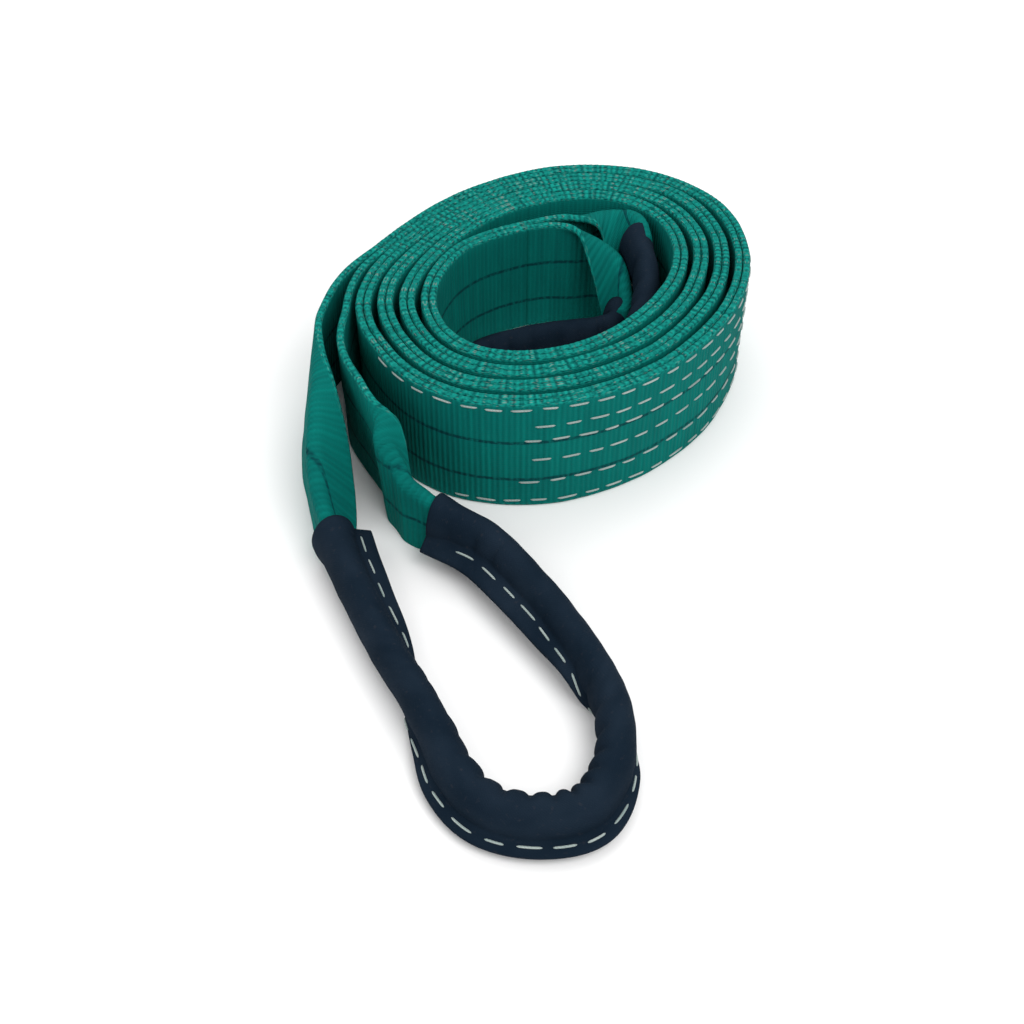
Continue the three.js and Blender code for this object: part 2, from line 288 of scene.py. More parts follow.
def mesh_object(name, vertices, faces, face_uvs, material):
    """One mesh object from millimetres; face_uvs holds a (u, v) for every corner of every face."""
    mesh = bpy.data.meshes.new(name)
    mesh.from_pydata([tuple(p) for p in to_part(vertices)], [], faces)
    layer = mesh.uv_layers.new(name="UVMap")
    layer.data.foreach_set("uv", np.asarray(face_uvs, np.float32).ravel())
    mesh.polygons.foreach_set("use_smooth", np.ones(len(mesh.polygons), bool))
    mesh.materials.append(material)
    mesh.validate()
    mesh.update()
    obj = bpy.data.objects.new(name, mesh)
    bpy.context.scene.collection.objects.link(obj)
    return obj


def loft(name, rings, along, across, material):
    """A closed skin over rings (n, m, 3); along is u for each ring, across is v for each point.

    across has m + 1 columns, the last one for the way back to the ring's first point.
    """
    n, m = rings.shape[:2]
    vertices = rings.reshape(-1, 3)
    across = np.broadcast_to(across, (n, m + 1))
    faces, uvs = [], []
    for i in range(n - 1):
        for j in range(m):
            k = (j + 1) % m
            faces.append((i * m + j, i * m + k, (i + 1) * m + k, (i + 1) * m + j))
            uvs += [(along[i], across[i, j]), (along[i], across[i, j + 1]),
                    (along[i + 1], across[i + 1, j + 1]), (along[i + 1], across[i + 1, j])]
    for ring, order in ((0, range(m - 1, -1, -1)), (n - 1, range(m))):
        faces.append(tuple(ring * m + j for j in order))
        uvs += [(along[ring], across[ring, j]) for j in order]
    return mesh_object(name, vertices, faces, uvs, material)


EDGE_POINTS = 5
EDGE_BULGE = 0.8     # how far a rounded edge stands out, as a share of half the thickness
EDGE_STRETCH = 1.5   # how far the distance across runs on over it, as the same share


def rounded_edge(end, normal, run, half, turns):
    """Points round the edge of webbing, from one face to the other."""
    points = [end + half * (math.cos(a) * normal + EDGE_BULGE * math.sin(a) * run) for a in turns]
    return np.stack(points, axis=1)


def band_section(midline, thickness):
    """Loops around midlines (n, k, 2) of cut webbing, with rounded selvedges.

    Returns rings (n, m, 2) and the distance across the width for each point, m + 1 of them.
    """
    run = np.gradient(midline, axis=1)
    run /= np.linalg.norm(run, axis=2)[:, :, None]
    normal = np.stack([-run[:, :, 1], run[:, :, 0]], axis=2)
    half = thickness / 2
    across = np.linspace(0, WEBBING_WIDTH, midline.shape[1])
    left_face = midline + half * normal
    right_face = (midline - half * normal)[:, ::-1]
    turns = np.linspace(0, math.pi, EDGE_POINTS + 2)[1:-1]
    top = rounded_edge(midline[:, -1], normal[:, -1], run[:, -1], half, turns)
    bottom = rounded_edge(midline[:, 0], normal[:, 0], run[:, 0], -half, turns)
    rings = np.concatenate([left_face, top, right_face, bottom], axis=1)
    beyond = half * np.sin(turns) * EDGE_STRETCH
    v = np.concatenate([across, WEBBING_WIDTH + beyond, across[::-1], -beyond, across[:1]])
    return rings, v


def stand_up(route, left, section):
    """Puts sections (n, m, 2) of sideways and height on a plan route."""
    x = route[:, 0, None] + left[:, 0, None] * section[:, :, 0]
    y = route[:, 1, None] + left[:, 1, None] * section[:, :, 0]
    return np.stack([x, y, section[:, :, 1]], axis=2)


# ---- Materials ------------------------------------------------------------------------------

class Shader:
    """A small helper for building one material out of nodes."""

    SPECULAR = 0.05
    SHEEN_ROUGHNESS = 0.5

    def __init__(self, name, roughness, sheen):
        self.material = bpy.data.materials.new(name)
        self.material.use_nodes = True
        self.tree = self.material.node_tree
        self.surface = self.tree.nodes["Principled BSDF"]
        self.surface.inputs["Roughness"].default_value = roughness
        self.surface.inputs["Sheen Weight"].default_value = sheen
        self.surface.inputs["Sheen Roughness"].default_value = self.SHEEN_ROUGHNESS
        self.surface.inputs["Specular IOR Level"].default_value = self.SPECULAR

    def node(self, kind, **settings):
        made = self.tree.nodes.new(kind)
        for key, value in settings.items():
            setattr(made, key, value)
        return made

    def put(self, socket, value):
        if isinstance(value, bpy.types.NodeSocket):
            self.tree.links.new(value, socket)
        else:
            socket.default_value = value

    def math(self, operation, *values, clamp=False):
        made = self.node("ShaderNodeMath", operation=operation, use_clamp=clamp)
        for socket, value in zip(made.inputs, values):
            self.put(socket, value)
        return made.outputs[0]

    def uv(self):
        parts = self.node("ShaderNodeSeparateXYZ")
        self.put(parts.inputs[0], self.node("ShaderNodeUVMap").outputs[0])
        return parts.outputs[0], parts.outputs[1]

    def vector(self, x, y, z=0.0):
        made = self.node("ShaderNodeCombineXYZ")
        for socket, value in zip(made.inputs, (x, y, z)):
            self.put(socket, value)
        return made.outputs[0]

    def noise(self, vector, scale, detail=2.0):
        made = self.node("ShaderNodeTexNoise")
        self.put(made.inputs["Vector"], vector)
        made.inputs["Scale"].default_value = scale
        made.inputs["Detail"].default_value = detail
        return made.outputs["Fac"]

    def stretch(self, value, low, high):
        """The value's share of the way from low to high, clamped to 0..1."""
        made = self.node("ShaderNodeMapRange")
        made.inputs["From Min"].default_value = low
        made.inputs["From Max"].default_value = high
        self.put(made.inputs["Value"], value)
        return made.outputs[0]

    def cells(self, uv, u_size, v_size, detail, seed=0.0):
        """Noise whose features are about u_size by v_size millimetres."""
        u, v = uv
        place = self.vector(self.math("DIVIDE", u, u_size), self.math("DIVIDE", v, v_size), seed)
        return self.noise(place, 1.0, detail)

    def wave(self, value, period):
        """A sine of the value with the given period."""
        return self.math("SINE", self.math("MULTIPLY", value, 2 * math.pi / period))

    def rows(self, value, period):
        """The same wave, but from 0 to 1."""
        return self.math("MULTIPLY_ADD", self.wave(value, period), 0.5, 0.5)

    def mix(self, share, first, second):
        """From the first colour to the second by share."""
        made = self.node("ShaderNodeMix", data_type="RGBA")
        self.put(made.inputs[0], share)
        for socket, value in ((made.inputs[6], first), (made.inputs[7], second)):
            self.put(socket, value if isinstance(value, bpy.types.NodeSocket) else (*value, 1.0))
        return made.outputs[2]

    def scale_colour(self, colour, factor):
        made = self.node("ShaderNodeVectorMath", operation="SCALE")
        self.put(made.inputs[0], colour)
        self.put(made.inputs["Scale"], factor)
        return made.outputs[0]

    def finish(self, colour, height, depth, strength):
        """Puts on the colour and a bump of the given depth in metres, and gives the material."""
        self.put(self.surface.inputs["Base Color"], colour)
        bump = self.node("ShaderNodeBump")
        bump.inputs["Distance"].default_value = depth
        bump.inputs["Strength"].default_value = strength
        self.put(bump.inputs["Height"], height)
        self.put(self.surface.inputs["Normal"], bump.outputs[0])
        return self.material


# Linear colours, and the spacings of weave and thread in millimetres.
WEBBING_GREEN = (0.001, 0.165, 0.140)
WEBBING_SHADE = (0.001, 0.110, 0.098)
STRIPE_DARK = (0.001, 0.025, 0.035)
RIM_LIGHT = (0.006, 0.260, 0.215)
RIM_DARK = (0.001, 0.075, 0.070)
SPECK = (0.26, 0.28, 0.25)
SLEEVE_DARK = (0.005, 0.012, 0.022)
SLEEVE_LIGHT = (0.010, 0.019, 0.032)
SLEEVE_DUST = (0.05, 0.045, 0.05)
# The thread's off-white in painted shade, and below it in painted light: a shaded and a lit copy of
# one colour.
THREAD_PAINTED_SHADE = (0.20, 0.28, 0.27)
THREAD_PAINTED_LIGHT = (0.42, 0.47, 0.45)
RIB_PITCH = 2.4
YARN_PITCH = 1.15
PICK_PITCH = 3.0
SLEEVE_WEAVE_PITCH = 1.1
THREAD_TWIST_PITCH = 1.3
STRIPE_HEIGHTS = (38.5, 16.0)
STRIPE_SOLID, STRIPE_GONE = 0.55, 1.15   # distances from a stripe's middle
RIM_STARTS, RIM_FULL = 29.2, 30.6        # distances from the webbing's middle


def webbing_material():
    """Woven teal green: crosswise ribs, two dark lengthwise stripes and lighter, mottled selvedges."""
    s = Shader("webbing", roughness=0.85, sheen=0.0)
    u, v = s.uv()
    rib = s.rows(u, RIB_PITCH)
    yarn = s.rows(v, YARN_PITCH)
    streak = s.cells((u, v), 3.2, 60.0, 3.0)
    broad = s.cells((u, v), 60.0, 45.0, 2.0)
    from_middle = s.math("ABSOLUTE", s.math("SUBTRACT", v, WEBBING_WIDTH / 2))
    rim = s.stretch(from_middle, RIM_STARTS, RIM_FULL)

    tone = s.math("ADD", s.math("MULTIPLY", streak, 0.7), s.math("MULTIPLY", broad, 0.45))
    face = s.mix(s.stretch(tone, 0.38, 0.78), WEBBING_SHADE, WEBBING_GREEN)
    face = s.scale_colour(face, s.math("MULTIPLY_ADD", rib, 0.12, 0.92))

    stripes = None
    for height in STRIPE_HEIGHTS:
        away = s.math("ABSOLUTE", s.math("SUBTRACT", v, height))
        one = s.math("SUBTRACT", 1.0, s.stretch(away, STRIPE_SOLID, STRIPE_GONE))
        stripes = one if stripes is None else s.math("MAXIMUM", stripes, one)
    broken = s.cells((u, v), 1.7, 2.2, 1.0)
    stripes = s.math("MULTIPLY", stripes, s.stretch(broken, 0.2, 0.55))
    face = s.mix(s.math("MULTIPLY", stripes, 0.8), face, STRIPE_DARK)

    loops = s.cells((u, v), 1.9, 1.2, 1.0)
    picks = s.rows(u, PICK_PITCH)
    mottle = s.math("ADD", s.math("MULTIPLY", loops, 0.9), s.math("MULTIPLY", picks, 0.12))
    edge = s.mix(s.stretch(mottle, 0.34, 0.66), RIM_DARK, RIM_LIGHT)
    flecks = s.cells((u, v), 2.6, 0.45, 0.0, seed=7.0)
    edge = s.mix(s.math("MULTIPLY", s.stretch(flecks, 0.68, 0.76), 0.45), edge, SPECK)
    colour = s.mix(rim, face, edge)

    ribs = s.math("MULTIPLY", rib, s.math("SUBTRACT", 1.0, rim))
    height = s.math("ADD", ribs, s.math("MULTIPLY", yarn, 0.3))
    height = s.math("ADD", height, s.math("MULTIPLY", s.math("MULTIPLY", mottle, rim), 1.6))
    return s.finish(colour, height, depth=0.0004, strength=0.8)


def sleeve_material():
    """Close-woven navy-black wear cloth with patches of tone, faint dust and creases."""
    s = Shader("sleeve_cloth", roughness=0.88, sheen=0.0)
    u, v = s.uv()
    warp = s.wave(u, SLEEVE_WEAVE_PITCH)
    weft = s.wave(v, SLEEVE_WEAVE_PITCH)
    weave = s.math("MULTIPLY_ADD", s.math("MULTIPLY", warp, weft), 0.5, 0.5)
    patches = s.cells((u, v), 26.0, 16.0, 3.0)
    colour = s.mix(s.stretch(patches, 0.35, 0.7), SLEEVE_DARK, SLEEVE_LIGHT)
    dust = s.cells((u, v), 2.0, 2.0, 2.0, seed=3.0)
    colour = s.mix(s.math("MULTIPLY", s.stretch(dust, 0.62, 0.8), 0.25), colour, SLEEVE_DUST)
    creases = s.cells((u, v), 9.0, 30.0, 2.0, seed=5.0)
    height = s.math("ADD", s.math("MULTIPLY", weave, 0.35), s.math("MULTIPLY", creases, 2.0))
    return s.finish(colour, height, depth=0.0005, strength=0.6)


def thread_material():
    """Off-white sewing thread with its twist, mixed from a painted-shade and a painted-light copy of
    its colour.
    """
    s = Shader("thread", roughness=0.65, sheen=0.1)
    u, v = s.uv()
    twist = s.rows(s.math("ADD", u, s.math("MULTIPLY", v, 0.5)), THREAD_TWIST_PITCH)
    # Painted light and shade: noise patches along the thread pick between its shaded and its lit copy.
    painted_shade_patches = s.noise(s.vector(s.math("DIVIDE", u, 14.0), v), 1.0, 2.0)
    colour = s.mix(s.stretch(painted_shade_patches, 0.3, 0.7), THREAD_PAINTED_SHADE, THREAD_PAINTED_LIGHT)
    return s.finish(colour, twist, depth=0.0002, strength=0.6)


WEBBING = webbing_material()
SLEEVE_CLOTH = sleeve_material()
THREAD = thread_material()


# ---- The coiled body ------------------------------------------------------------------------

BODY_LINE, BODY_ALONG, STATION_ALONG = body_route()
BODY_LEFT = left_of(BODY_LINE)
FACE_POINTS = 15
TOP_STARTS = 55.0    # the upper edge wanders up and down from here upwards
SECOND_PLY_PHASE = 1.6


def ply_waviness(along, across):
    """How far the cloth's face wanders sideways; both plies share it, since they are sewn."""
    return 0.3 * unevenness(along, across, 75.0) + 0.12 * unevenness(along, across, 23.0)


def ply(name, offset):
    """One ply of the body, offset outwards from the body's middle line."""
    heights = np.linspace(SELVEDGE, WEBBING_WIDTH - SELVEDGE, FACE_POINTS)
    midline = np.empty((len(BODY_LINE), FACE_POINTS, 2))
    midline[:, :, 0] = offset + ply_waviness(BODY_ALONG[:, None], heights[None, :])
    midline[:, :, 1] = heights
    section, v = band_section(midline, PLY_THICKNESS)
    phase = 0.0 if offset > 0 else SECOND_PLY_PHASE
    picks = 0.10 * np.sin(2 * math.pi * BODY_ALONG / PICK_PITCH + phase)
    sway = 0.35 * unevenness(BODY_ALONG, 0.0 * BODY_ALONG, 90.0)
    top = np.clip((section[:, :, 1] - TOP_STARTS) / (WEBBING_WIDTH - TOP_STARTS), 0, 1)
    section[:, :, 1] += top * (picks + sway)[:, None]
    section[:, :, 1] = np.maximum(section[:, :, 1], FLOOR_CLEARANCE)
    rings = stand_up(BODY_LINE, BODY_LEFT, section)
    obj = loft(name, rings, BODY_ALONG, v, WEBBING)
    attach(obj, "sling_body")
    return obj


# ---- Stitches -------------------------------------------------------------------------------

THREAD_SIDES = 8
STITCH_STATIONS = 8
STITCH_SINK = 0.45   # how far a stitch's ends sink into the cloth
BODY_STITCH = {"length": 8.6, "gap": 3.4, "width": 1.0, "height": 0.85}
SLEEVE_STITCH = {"length": 9.5, "gap": 3.6, "width": 0.95, "height": 0.75}
SLEEVE_SEAM_LEAD = 1.0


def stitches(name, path, normal, side, lead, length, gap, width, height):
    """A row of long stitches along a path of 3-D points in millimetres.

    normal points out of the cloth and side lies across the row; both are unit vectors. The sines
    of the stitch's number make the lengths, gaps and slants uneven in a repeatable way.
    """
    along = arc_lengths(path)
    around = np.linspace(0, 2 * math.pi, THREAD_SIDES, endpoint=False)
    steps = np.linspace(0, 1, STITCH_STATIONS)
    vertices, faces, uvs = [], [], []
    start = lead
    index = 0
    while start + length < along[-1]:
        own = length * (1 + 0.16 * math.sin(index * 2.39 + lead))
        at = start + own * steps
        middle = np.column_stack([np.interp(at, along, path[:, k]) for k in range(3)])
        out = np.column_stack([np.interp(at, along, normal[:, k]) for k in range(3)])
        wide = np.column_stack([np.interp(at, along, side[:, k]) for k in range(3)])
        plump = np.sqrt(np.clip(1 - (2 * steps - 1) ** 6, 0.04, 1))
        drift = 0.25 * math.sin(index * 1.7 + lead) + 0.3 * (steps - 0.5) * math.sin(index * 2.9)
        base = len(vertices)
        for q in range(len(steps)):
            centre = middle[q] + wide[q] * drift[q] - out[q] * STITCH_SINK * (1 - plump[q])
            for a in around:
                vertices.append(centre + wide[q] * math.cos(a) * width / 2 * plump[q]
                                + out[q] * math.sin(a) * height / 2 * plump[q])
        m = len(around)
        for q in range(len(steps) - 1):
            for j in range(m):
                k = (j + 1) % m
                faces.append((base + q * m + j, base + (q + 1) * m + j,
                              base + (q + 1) * m + k, base + q * m + k))
                uvs += [(at[q], j), (at[q + 1], j), (at[q + 1], j + 1), (at[q], j + 1)]
        last = base + (len(steps) - 1) * m
        faces.append(tuple(base + j for j in range(m)))
        uvs += [(at[0], j) for j in range(m)]
        faces.append(tuple(last + j for j in range(m - 1, -1, -1)))
        uvs += [(at[-1], j) for j in range(m - 1, -1, -1)]
        start += own + gap * (1 + 0.25 * math.sin(index * 1.3))
        index += 1
    return mesh_object(name, np.array(vertices), faces, uvs, THREAD)


SEAM_STANDOFF = 0.15   # a stitch's middle line above the cloth's face


def body_seam(node, height, first, last, lead):
    """One row of stitches on the outer ply's face, in place of its CAD thread."""
    inside = (BODY_ALONG >= STATION_ALONG[first]) & (BODY_ALONG <= STATION_ALONG[last])
    line = BODY_LINE[inside]
    left = BODY_LEFT[inside]
    wander = 0.5 * unevenness(BODY_ALONG[inside], height, 130.0)
    face = PLY_THICKNESS + PLY_GAP / 2 + SEAM_STANDOFF + ply_waviness(BODY_ALONG[inside], height)
    path = np.column_stack([line + left * face[:, None], height + wander])
    normal = np.column_stack([left, np.zeros(len(left))])
    side = np.tile([0.0, 0.0, 1.0], (len(left), 1))
    obj = stitches(f"{node}_stitches", path, normal, side, lead, **BODY_STITCH)
    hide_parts(node)
    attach(obj, "sling_body")


# ---- The legs of the eyes -------------------------------------------------------------------

LEG_POINTS = 45
BEND_WIDTH = 5.2
MOST_FLAP = 34
MOST_BEND = 172
FOLDED_FLAP = 20     # the margin for the rounded selvedges fades out up to this flap width
CUT_TURN = 6.0       # a leg leaves its ply's cut end square, and has its own heading after this
CUT_SETTLE = 20.0    # and its own waviness after this


def folded_midline(flap, bend, lean, rise, tallest, flap_side):
    """The middle line of webbing that stands on edge with a flap folded over at the top."""
    across = np.linspace(0, WEBBING_WIDTH, LEG_POINTS)[None, :]
    ridge = WEBBING_WIDTH - flap
    bent = smoothstep((across - (ridge[:, None] - BEND_WIDTH)) / (BEND_WIDTH + 2.0))
    heading = np.radians(lean)[:, None] + np.radians(bend)[:, None] * bent
    step = WEBBING_WIDTH / (LEG_POINTS - 1)
    between = (heading[:, 1:] + heading[:, :-1]) / 2
    zero = np.zeros((len(flap), 1))
    sideways = np.hstack([zero, np.cumsum(np.sin(between) * step, axis=1)])
    upward = np.hstack([zero, np.cumsum(np.cos(between) * step, axis=1)])
    sideways -= (sideways.max(axis=1) + sideways.min(axis=1))[:, None] / 2
    upward -= upward.min(axis=1)[:, None]
    squeeze = np.minimum(tallest / upward.max(axis=1), 1)[:, None]
    edge = SELVEDGE * (1 - smoothstep(flap / FOLDED_FLAP))[:, None]
    upward = edge + upward * squeeze * (1 - 2 * edge / WEBBING_WIDTH) + rise[:, None]
    return np.stack([sideways * squeeze * flap_side, upward], axis=2)


def leg(name, node, rows, flap_side, split, bodies, blends, cut):
    """One leg of an eye as an upper and a lower piece that meet at the share split of its route.

    bodies holds the upper piece's and the lower one's: the name of one body where blends has None
    for that piece, or else a pair of bodies, which is not used: such a piece is left unattached
    and does not bend. cut is the body's cut end that the leg goes on from: its distance along the
    body, and 1 where the leg leads onwards from it or -1 where it leads back.
    """
    cut_along, cut_way = cut
    values, along = resample(smooth_rows(rows, SPAN_SAMPLES), 1.0)
    route = values[:, :2]
    left = left_of(route)
    cut_left = cut_way * (BODY_LEFT[-1] if cut_way > 0 else BODY_LEFT[0])
    ease = smoothstep(along / CUT_TURN)[:, None]
    left = left * ease + cut_left * (1 - ease)
    left /= np.linalg.norm(left, axis=1)[:, None]
    flap = np.clip(values[:, 2], 0, MOST_FLAP)
    bend = np.clip(values[:, 3], 0, MOST_BEND)
    rise = np.clip(values[:, 5], 0, None)
    midline = folded_midline(flap, bend, values[:, 4], rise, values[:, 6], flap_side)
    across = np.linspace(0, WEBBING_WIDTH, LEG_POINTS)[None, :]
    settled = smoothstep(along / CUT_SETTLE)[:, None]
    midline[:, :, 0] += 0.35 * unevenness(along[:, None], across, 40.0) * settled
    midline[:, :, 0] += cut_way * ply_waviness(cut_along, across) * (1 - settled)
    section, v = band_section(midline, PLY_THICKNESS)
    section[:, :, 1] = np.maximum(section[:, :, 1], FLOOR_CLEARANCE)
    rings = stand_up(route, left, section)
    meeting = int(len(rings) * split)
    pieces = []
    for label, part in (("upper", slice(0, meeting + 1)), ("lower", slice(meeting, None))):
        obj = loft(f"{name}_{label}", rings[part], cut_along + cut_way * along[part], v, WEBBING)
        pieces.append(obj)
    for obj, carried_by, ends in zip(pieces, bodies, blends):
        if ends is None:
            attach(obj, carried_by)
        else:
            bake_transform(obj)
    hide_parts(node)
    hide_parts(node)


# ---- The sleeves of the eyes ----------------------------------------------------------------

OVAL_POINTS = 44
FLANGE_REACHES = (0.2, 0.45, 0.7, 0.9)
ROOT_HALF_ANGLE = 0.16
BEND_WINDOW = 15       # samples over which the tightness of a bend is averaged
TIGHT_BEND = 0.032     # radians per millimetre: a bend that wrinkles fully
WRINKLE_PITCH = 10.0
WRINKLE_DEPTH = 3.0
MOUTH_FLARE = 0.9      # how much wider a sleeve's mouth is than its oval
FLANGE_HALF_ROOT = 1.45
FLANGE_TAPER = 0.45
FLANGE_STITCH_STANDOFF = 0.1


def oval_radius(half_width, half_height, angle):
    """Radius of an ellipse in the direction of the angle."""
    return 1 / np.hypot(np.cos(angle) / half_width, np.sin(angle) / half_height)


def route_of_sleeve(rows):
    """Values, distance along, left vectors and tightness of the bend along a sleeve."""
    values, along = resample(smooth_rows(rows, SPAN_SAMPLES), 1.0)
    left = left_of(values[:, :2])
    heading = np.unwrap(np.arctan2(left[:, 1], left[:, 0]))
    bend = np.abs(np.gradient(heading, along))
    bend = np.convolve(bend, np.ones(BEND_WINDOW) / BEND_WINDOW, mode="same")
    return values, along, left, np.clip(bend / TIGHT_BEND, 0, 1)


def flange_root(flange_deg):
    """Angle of the flange's root: it leaves high up on the sides, and points where it should."""
    high = smoothstep((60 - np.abs(flange_deg)) / 40)
    return np.radians(flange_deg + 32 * high)


def flange_half_thickness(reach):
    """Half the flange's thickness at a share of its length; it is two layers and thins outwards."""
    return FLANGE_HALF_ROOT - FLANGE_TAPER * reach


def flange_sway(along, length):
    """Sideways wander of the stitched flange."""
    return 0.08 * length * unevenness(along, 0.0 * along, 48.0)


def sleeve(name, node, rows, body):
    """A hollow sleeve with its stitched flange, wrinkled where it bends round the bearing.

    Returns what the flange's seams are laid out from.
    """
    values, along, left, bend = route_of_sleeve(rows)
    half_width, half_height = values[:, 3], values[:, 4]
    flange = flange_root(values[:, 5])
    flange_length = np.clip(values[:, 6], 0.3, None)
    turns = np.linspace(ROOT_HALF_ANGLE, 2 * math.pi - ROOT_HALF_ANGLE, OVAL_POINTS)
    angle = flange[:, None] + turns[None, :]
    radius = oval_radius(half_width[:, None], half_height[:, None], angle)
    inward = np.clip(np.cos(angle) + 0.25, 0, 1)
    wrinkle = np.abs(np.sin(math.pi * along / WRINKLE_PITCH + 1.1 * np.sin(along / 15.0)))
    radius = radius - WRINKLE_DEPTH * bend[:, None] * inward * (1 - wrinkle[:, None]) ** 1.5
    radius = radius + 0.22 * unevenness(along[:, None], 9 * turns[None, :], 21.0)
    ends = np.minimum(along, along[-1] - along)
    radius = radius + MOUTH_FLARE * (1 - smoothstep((ends - 2.0) / 8.0))[:, None]
    outside = np.stack([np.cos(angle) * radius, np.sin(angle) * radius], axis=2)

    root_radius = oval_radius(half_width, half_height, flange)[:, None]
    root = root_radius * np.stack([np.cos(flange), np.sin(flange)], axis=1)
    flange_way = np.radians(values[:, 5])
    along_flange = np.stack([np.cos(flange_way), np.sin(flange_way)], axis=1)
    across_flange = np.stack([-np.sin(flange_way), np.cos(flange_way)], axis=1)
    sway = flange_sway(along, flange_length)
    fin = []
    for side in (-1, 1):
        faces = []
        for reach in FLANGE_REACHES:
            out = root + (reach * flange_length)[:, None] * along_flange
            half = flange_half_thickness(reach)
            faces.append(out + (side * half + sway * reach)[:, None] * across_flange)
        fin.append(faces if side < 0 else faces[::-1])
    tip = root + flange_length[:, None] * along_flange + sway[:, None] * across_flange
    outer = np.concatenate([outside, np.stack(fin[0] + [tip] + fin[1], axis=1)], axis=1)

    extra = 2 * len(FLANGE_REACHES) + 1
    root_angles = (2 * math.pi - ROOT_HALF_ANGLE, 2 * math.pi + ROOT_HALF_ANGLE)
    back = np.linspace(*root_angles, extra + 2)[1:-1]
    bore_angle = flange[:, None] + np.concatenate([turns, back])[None, :]
    bore_half_width = half_width[:, None] - SLEEVE_WALL
    bore_half_height = half_height[:, None] - SLEEVE_WALL
    bore = oval_radius(bore_half_width, bore_half_height, bore_angle)
    inner = np.stack([np.cos(bore_angle) * bore, np.sin(bore_angle) * bore], axis=2)

    def lifted(section):
        placed = section.copy()
        placed[:, :, 1] += values[:, 2, None]
        return stand_up(values[:, :2], left, placed)

    outer_rings = lifted(outer)
    outer_rings[:, :, 2] = np.maximum(outer_rings[:, :, 2], FLOOR_CLEARANCE)
    inner_rings = lifted(inner)
    girth = arc_lengths(outer[len(outer) // 2])
    girth = np.append(girth, girth[-1] + 1.0)
    obj = tube(name, outer_rings, inner_rings, along, girth, SLEEVE_CLOTH)
    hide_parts(node)
    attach(obj, body)
    return values, left, root, flange_length, along_flange, across_flange, sway


def tube(name, outer, inner, along, girth, material):
    """A hollow tube: an outer and an inner skin, joined at both ends."""
    n, m = outer.shape[:2]
    vertices = np.concatenate([outer.reshape(-1, 3), inner.reshape(-1, 3)])
    offset = n * m
    faces, uvs = [], []
    for i in range(n - 1):
        for j in range(m):
            k = (j + 1) % m
            a, b = i * m + j, i * m + k
            c, d = b + m, a + m
            u0, u1 = along[i], along[i + 1]
            v0, v1 = girth[j], girth[j + 1]
            faces.append((a, b, c, d))
            uvs += [(u0, v0), (u0, v1), (u1, v1), (u1, v0)]
            faces.append((offset + d, offset + c, offset + b, offset + a))
            uvs += [(u1, v0), (u1, v1), (u0, v1), (u0, v0)]
    for i, flip in ((0, False), (n - 1, True)):
        for j in range(m):
            k = (j + 1) % m
            a, b = i * m + j, i * m + k
            ring = (b, a, offset + a, offset + b)
            corner = [(along[i], girth[j + 1]), (along[i], girth[j]),
                      (along[i] + 2, girth[j]), (along[i] + 2, girth[j + 1])]
            faces.append(ring[::-1] if flip else ring)
            uvs += corner[::-1] if flip else corner
    return mesh_object(name, vertices, faces, uvs, material)


def flange_seam(name, node, made, side, body):
    """Stitches along one face of a sleeve's flange."""
    values, left, root, flange_length, along_flange, across_flange, sway = made
    share_out = 0.31 - 0.11 * along_flange[:, 0]
    reach = np.maximum(flange_length * share_out, 1.2)
    share = np.clip(reach / flange_length, 0, 1)
    raised = side * (flange_half_thickness(share) + FLANGE_STITCH_STANDOFF) + sway * share
    section = root + reach[:, None] * along_flange + raised[:, None] * across_flange
    section[:, 1] += values[:, 2]
    path = stand_up(values[:, :2], left, section[:, None, :])[:, 0]
    flat_left = np.column_stack([left, np.zeros(len(left))])
    up = np.array([0.0, 0.0, 1.0])
    normal = side * (across_flange[:, :1] * flat_left + across_flange[:, 1:] * up)
    across = along_flange[:, :1] * flat_left + along_flange[:, 1:] * up
    keep = slice(3, -3)
    rows = (path[keep], normal[keep], across[keep])
    obj = stitches(name, *rows, SLEEVE_SEAM_LEAD, **SLEEVE_STITCH)
    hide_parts(node)
    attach(obj, body)


BUNDLE_SPACING = 2.0
BUNDLE_SHORTER = 8         # stations that the bundle ends before each mouth
BUNDLE_CLEARANCE = 0.4
FOLD_PITCH = 0.55          # between its layers, as a share of the bore's half width
FOLD_REACH = 0.66          # of its layers up and down, as a share of the bore's half height


def bundle(name, node, rows, body):
    """The webbing inside a sleeve, folded in three lengthwise."""
    values, along = resample(smooth_rows(rows, SPAN_SAMPLES), BUNDLE_SPACING)
    left = left_of(values[:, :2])
    start, end = BUNDLE_SHORTER, len(along) - BUNDLE_SHORTER
    pitch = FOLD_PITCH * (values[:, 3] - SLEEVE_WALL - BUNDLE_CLEARANCE)
    reach = FOLD_REACH * (values[:, 4] - SLEEVE_WALL - BUNDLE_CLEARANCE)
    steps = np.linspace(0, 1, 13)
    turn = np.linspace(0, math.pi, 7)[1:-1]
    first = np.stack([-1 + 0 * steps, 2 * steps - 1], axis=1)
    bend_top = np.stack([-0.5 - 0.5 * np.cos(turn), 1 + 0.4 * np.sin(turn)], axis=1)
    second = np.stack([0 * steps, 1 - 2 * steps], axis=1)
    bend_low = np.stack([0.5 - 0.5 * np.cos(turn), -1 - 0.4 * np.sin(turn)], axis=1)
    third = np.stack([1 + 0 * steps, 2 * steps - 1], axis=1)
    unit = np.vstack([first, bend_top, second, bend_low, third])
    midline = unit[None] * np.stack([pitch, reach], axis=1)[:, None, :]
    section, v = band_section(midline, FOLDED_THICKNESS)
    section[:, :, 1] += values[:, 2, None]
    rings = stand_up(values[:, :2], left, section)
    obj = loft(name, rings[start:end], along[start:end], v, WEBBING)
    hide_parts(node)
    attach(obj, body)


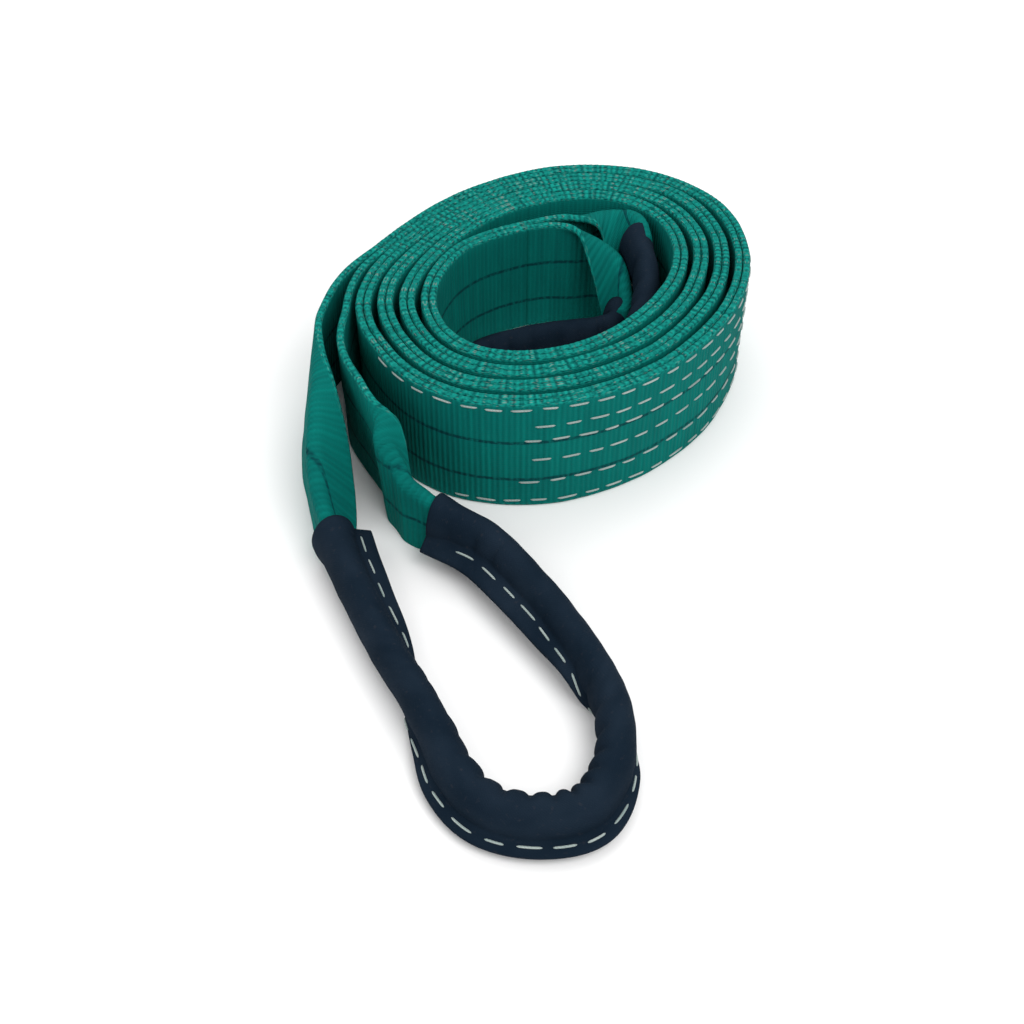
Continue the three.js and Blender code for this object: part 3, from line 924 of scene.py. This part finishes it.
def eye(prefix, rows, body):
    """One eye's sleeve, the two threads of its seam, and the webbing inside it."""
    made = sleeve(f"{prefix}_sleeve_cloth", f"{prefix}_sleeve", rows, body)
    flange_seam(f"{prefix}_needle_stitches", f"{prefix}_needle_seam", made, 1, body)
    flange_seam(f"{prefix}_bobbin_stitches", f"{prefix}_bobbin_seam", made, -1, body)
    bundle(f"{prefix}_folded_webbing", f"{prefix}_webbing", rows, body)


# ---- Camera, floor and light ----------------------------------------------------------------

SENSOR_MM = 36
LENS_MM = 49.2
CAMERA_PLACE = (-0.0081, -0.4472, 0.4415)
CAMERA_PITCH = 45
FLOOR_HALF_SIDE = 3.0
FLOOR_COLOUR = (0.93, 0.93, 0.93, 1)
WORLD_STRENGTH = 0.62


def camera():
    data = bpy.data.cameras.new("camera")
    data.sensor_width = SENSOR_MM
    data.lens = LENS_MM
    obj = bpy.data.objects.new("camera", data)
    obj.location = CAMERA_PLACE
    obj.rotation_euler = (math.radians(CAMERA_PITCH), 0, 0)
    bpy.context.scene.collection.objects.link(obj)
    bpy.context.scene.camera = obj


def floor():
    mesh = bpy.data.meshes.new("floor")
    r = FLOOR_HALF_SIDE
    mesh.from_pydata([(-r, -r, 0), (r, -r, 0), (r, r, 0), (-r, r, 0)], [], [(0, 1, 2, 3)])
    material = bpy.data.materials.new("floor")
    material.use_nodes = True
    surface = material.node_tree.nodes["Principled BSDF"]
    surface.inputs["Base Color"].default_value = FLOOR_COLOUR
    surface.inputs["Roughness"].default_value = 0.9
    mesh.materials.append(material)
    obj = bpy.data.objects.new("floor", mesh)
    bpy.context.scene.collection.objects.link(obj)


def area_light(name, location, target, size, power):
    """A square light aimed at a target."""
    data = bpy.data.lights.new(name, "AREA")
    data.shape = "SQUARE"
    data.size = size
    data.energy = power
    obj = bpy.data.objects.new(name, data)
    obj.location = location
    aim = np.array(target) - np.array(location)
    flat = math.hypot(aim[0], aim[1])
    obj.rotation_euler = (math.atan2(flat, -aim[2]), 0, math.atan2(aim[1], aim[0]) - math.pi / 2)
    bpy.context.scene.collection.objects.link(obj)


def lights():
    area_light("key", location=(0.5, -0.7, 1.2), target=(0, 0, 0), size=0.9, power=13)
    area_light("fill", location=(-1.0, -0.3, 0.8), target=(0, 0, 0), size=1.2, power=4)
    area_light("back", location=(0.1, 1.0, 1.3), target=(0, 0.05, 0), size=1.2, power=8)
    world = bpy.data.worlds.new("studio")
    world.use_nodes = True
    background = world.node_tree.nodes["Background"]
    background.inputs["Color"].default_value = (1, 1, 1, 1)
    background.inputs["Strength"].default_value = WORLD_STRENGTH
    bpy.context.scene.world = world
    bpy.context.scene.view_settings.view_transform = "Standard"


camera()
floor()
lights()

ply_offset = (PLY_THICKNESS + PLY_GAP) / 2
outer = ply("outer_ply_webbing", ply_offset)
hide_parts("outer_ply")
inner = ply("inner_ply_webbing", -ply_offset)
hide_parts("inner_ply")
for seam in SEAM_ROWS:
    body_seam(*seam)

front_cut = (0.0, -1)
inner_cut = (BODY_ALONG[-1], 1)
bending = (("sling_body", "front_eye_legs"), ("front_eye_legs", "front_eye_loop"))
leg("left_leg", "front_eye_left_leg", FRONT_LEFT_LEG, flap_side=1, split=0.45,
    bodies=bending, blends=FRONT_LEFT_BLENDS, cut=front_cut)
leg("right_leg", "front_eye_right_leg", FRONT_RIGHT_LEG, flap_side=1, split=0.45,
    bodies=bending, blends=FRONT_RIGHT_BLENDS, cut=front_cut)
eye("front_eye", FRONT_SLEEVE, "front_eye_loop")
fixed = ("sling_body", "sling_body")
leg("outer_leg", "inner_eye_outer_leg", INNER_OUTER_LEG, flap_side=-1, split=0.5,
    bodies=fixed, blends=(None, None), cut=inner_cut)
leg("inner_leg", "inner_eye_inner_leg", INNER_INNER_LEG, flap_side=-1, split=0.5,
    bodies=fixed, blends=(None, None), cut=inner_cut)
eye("inner_eye", INNER_SLEEVE, "sling_body")
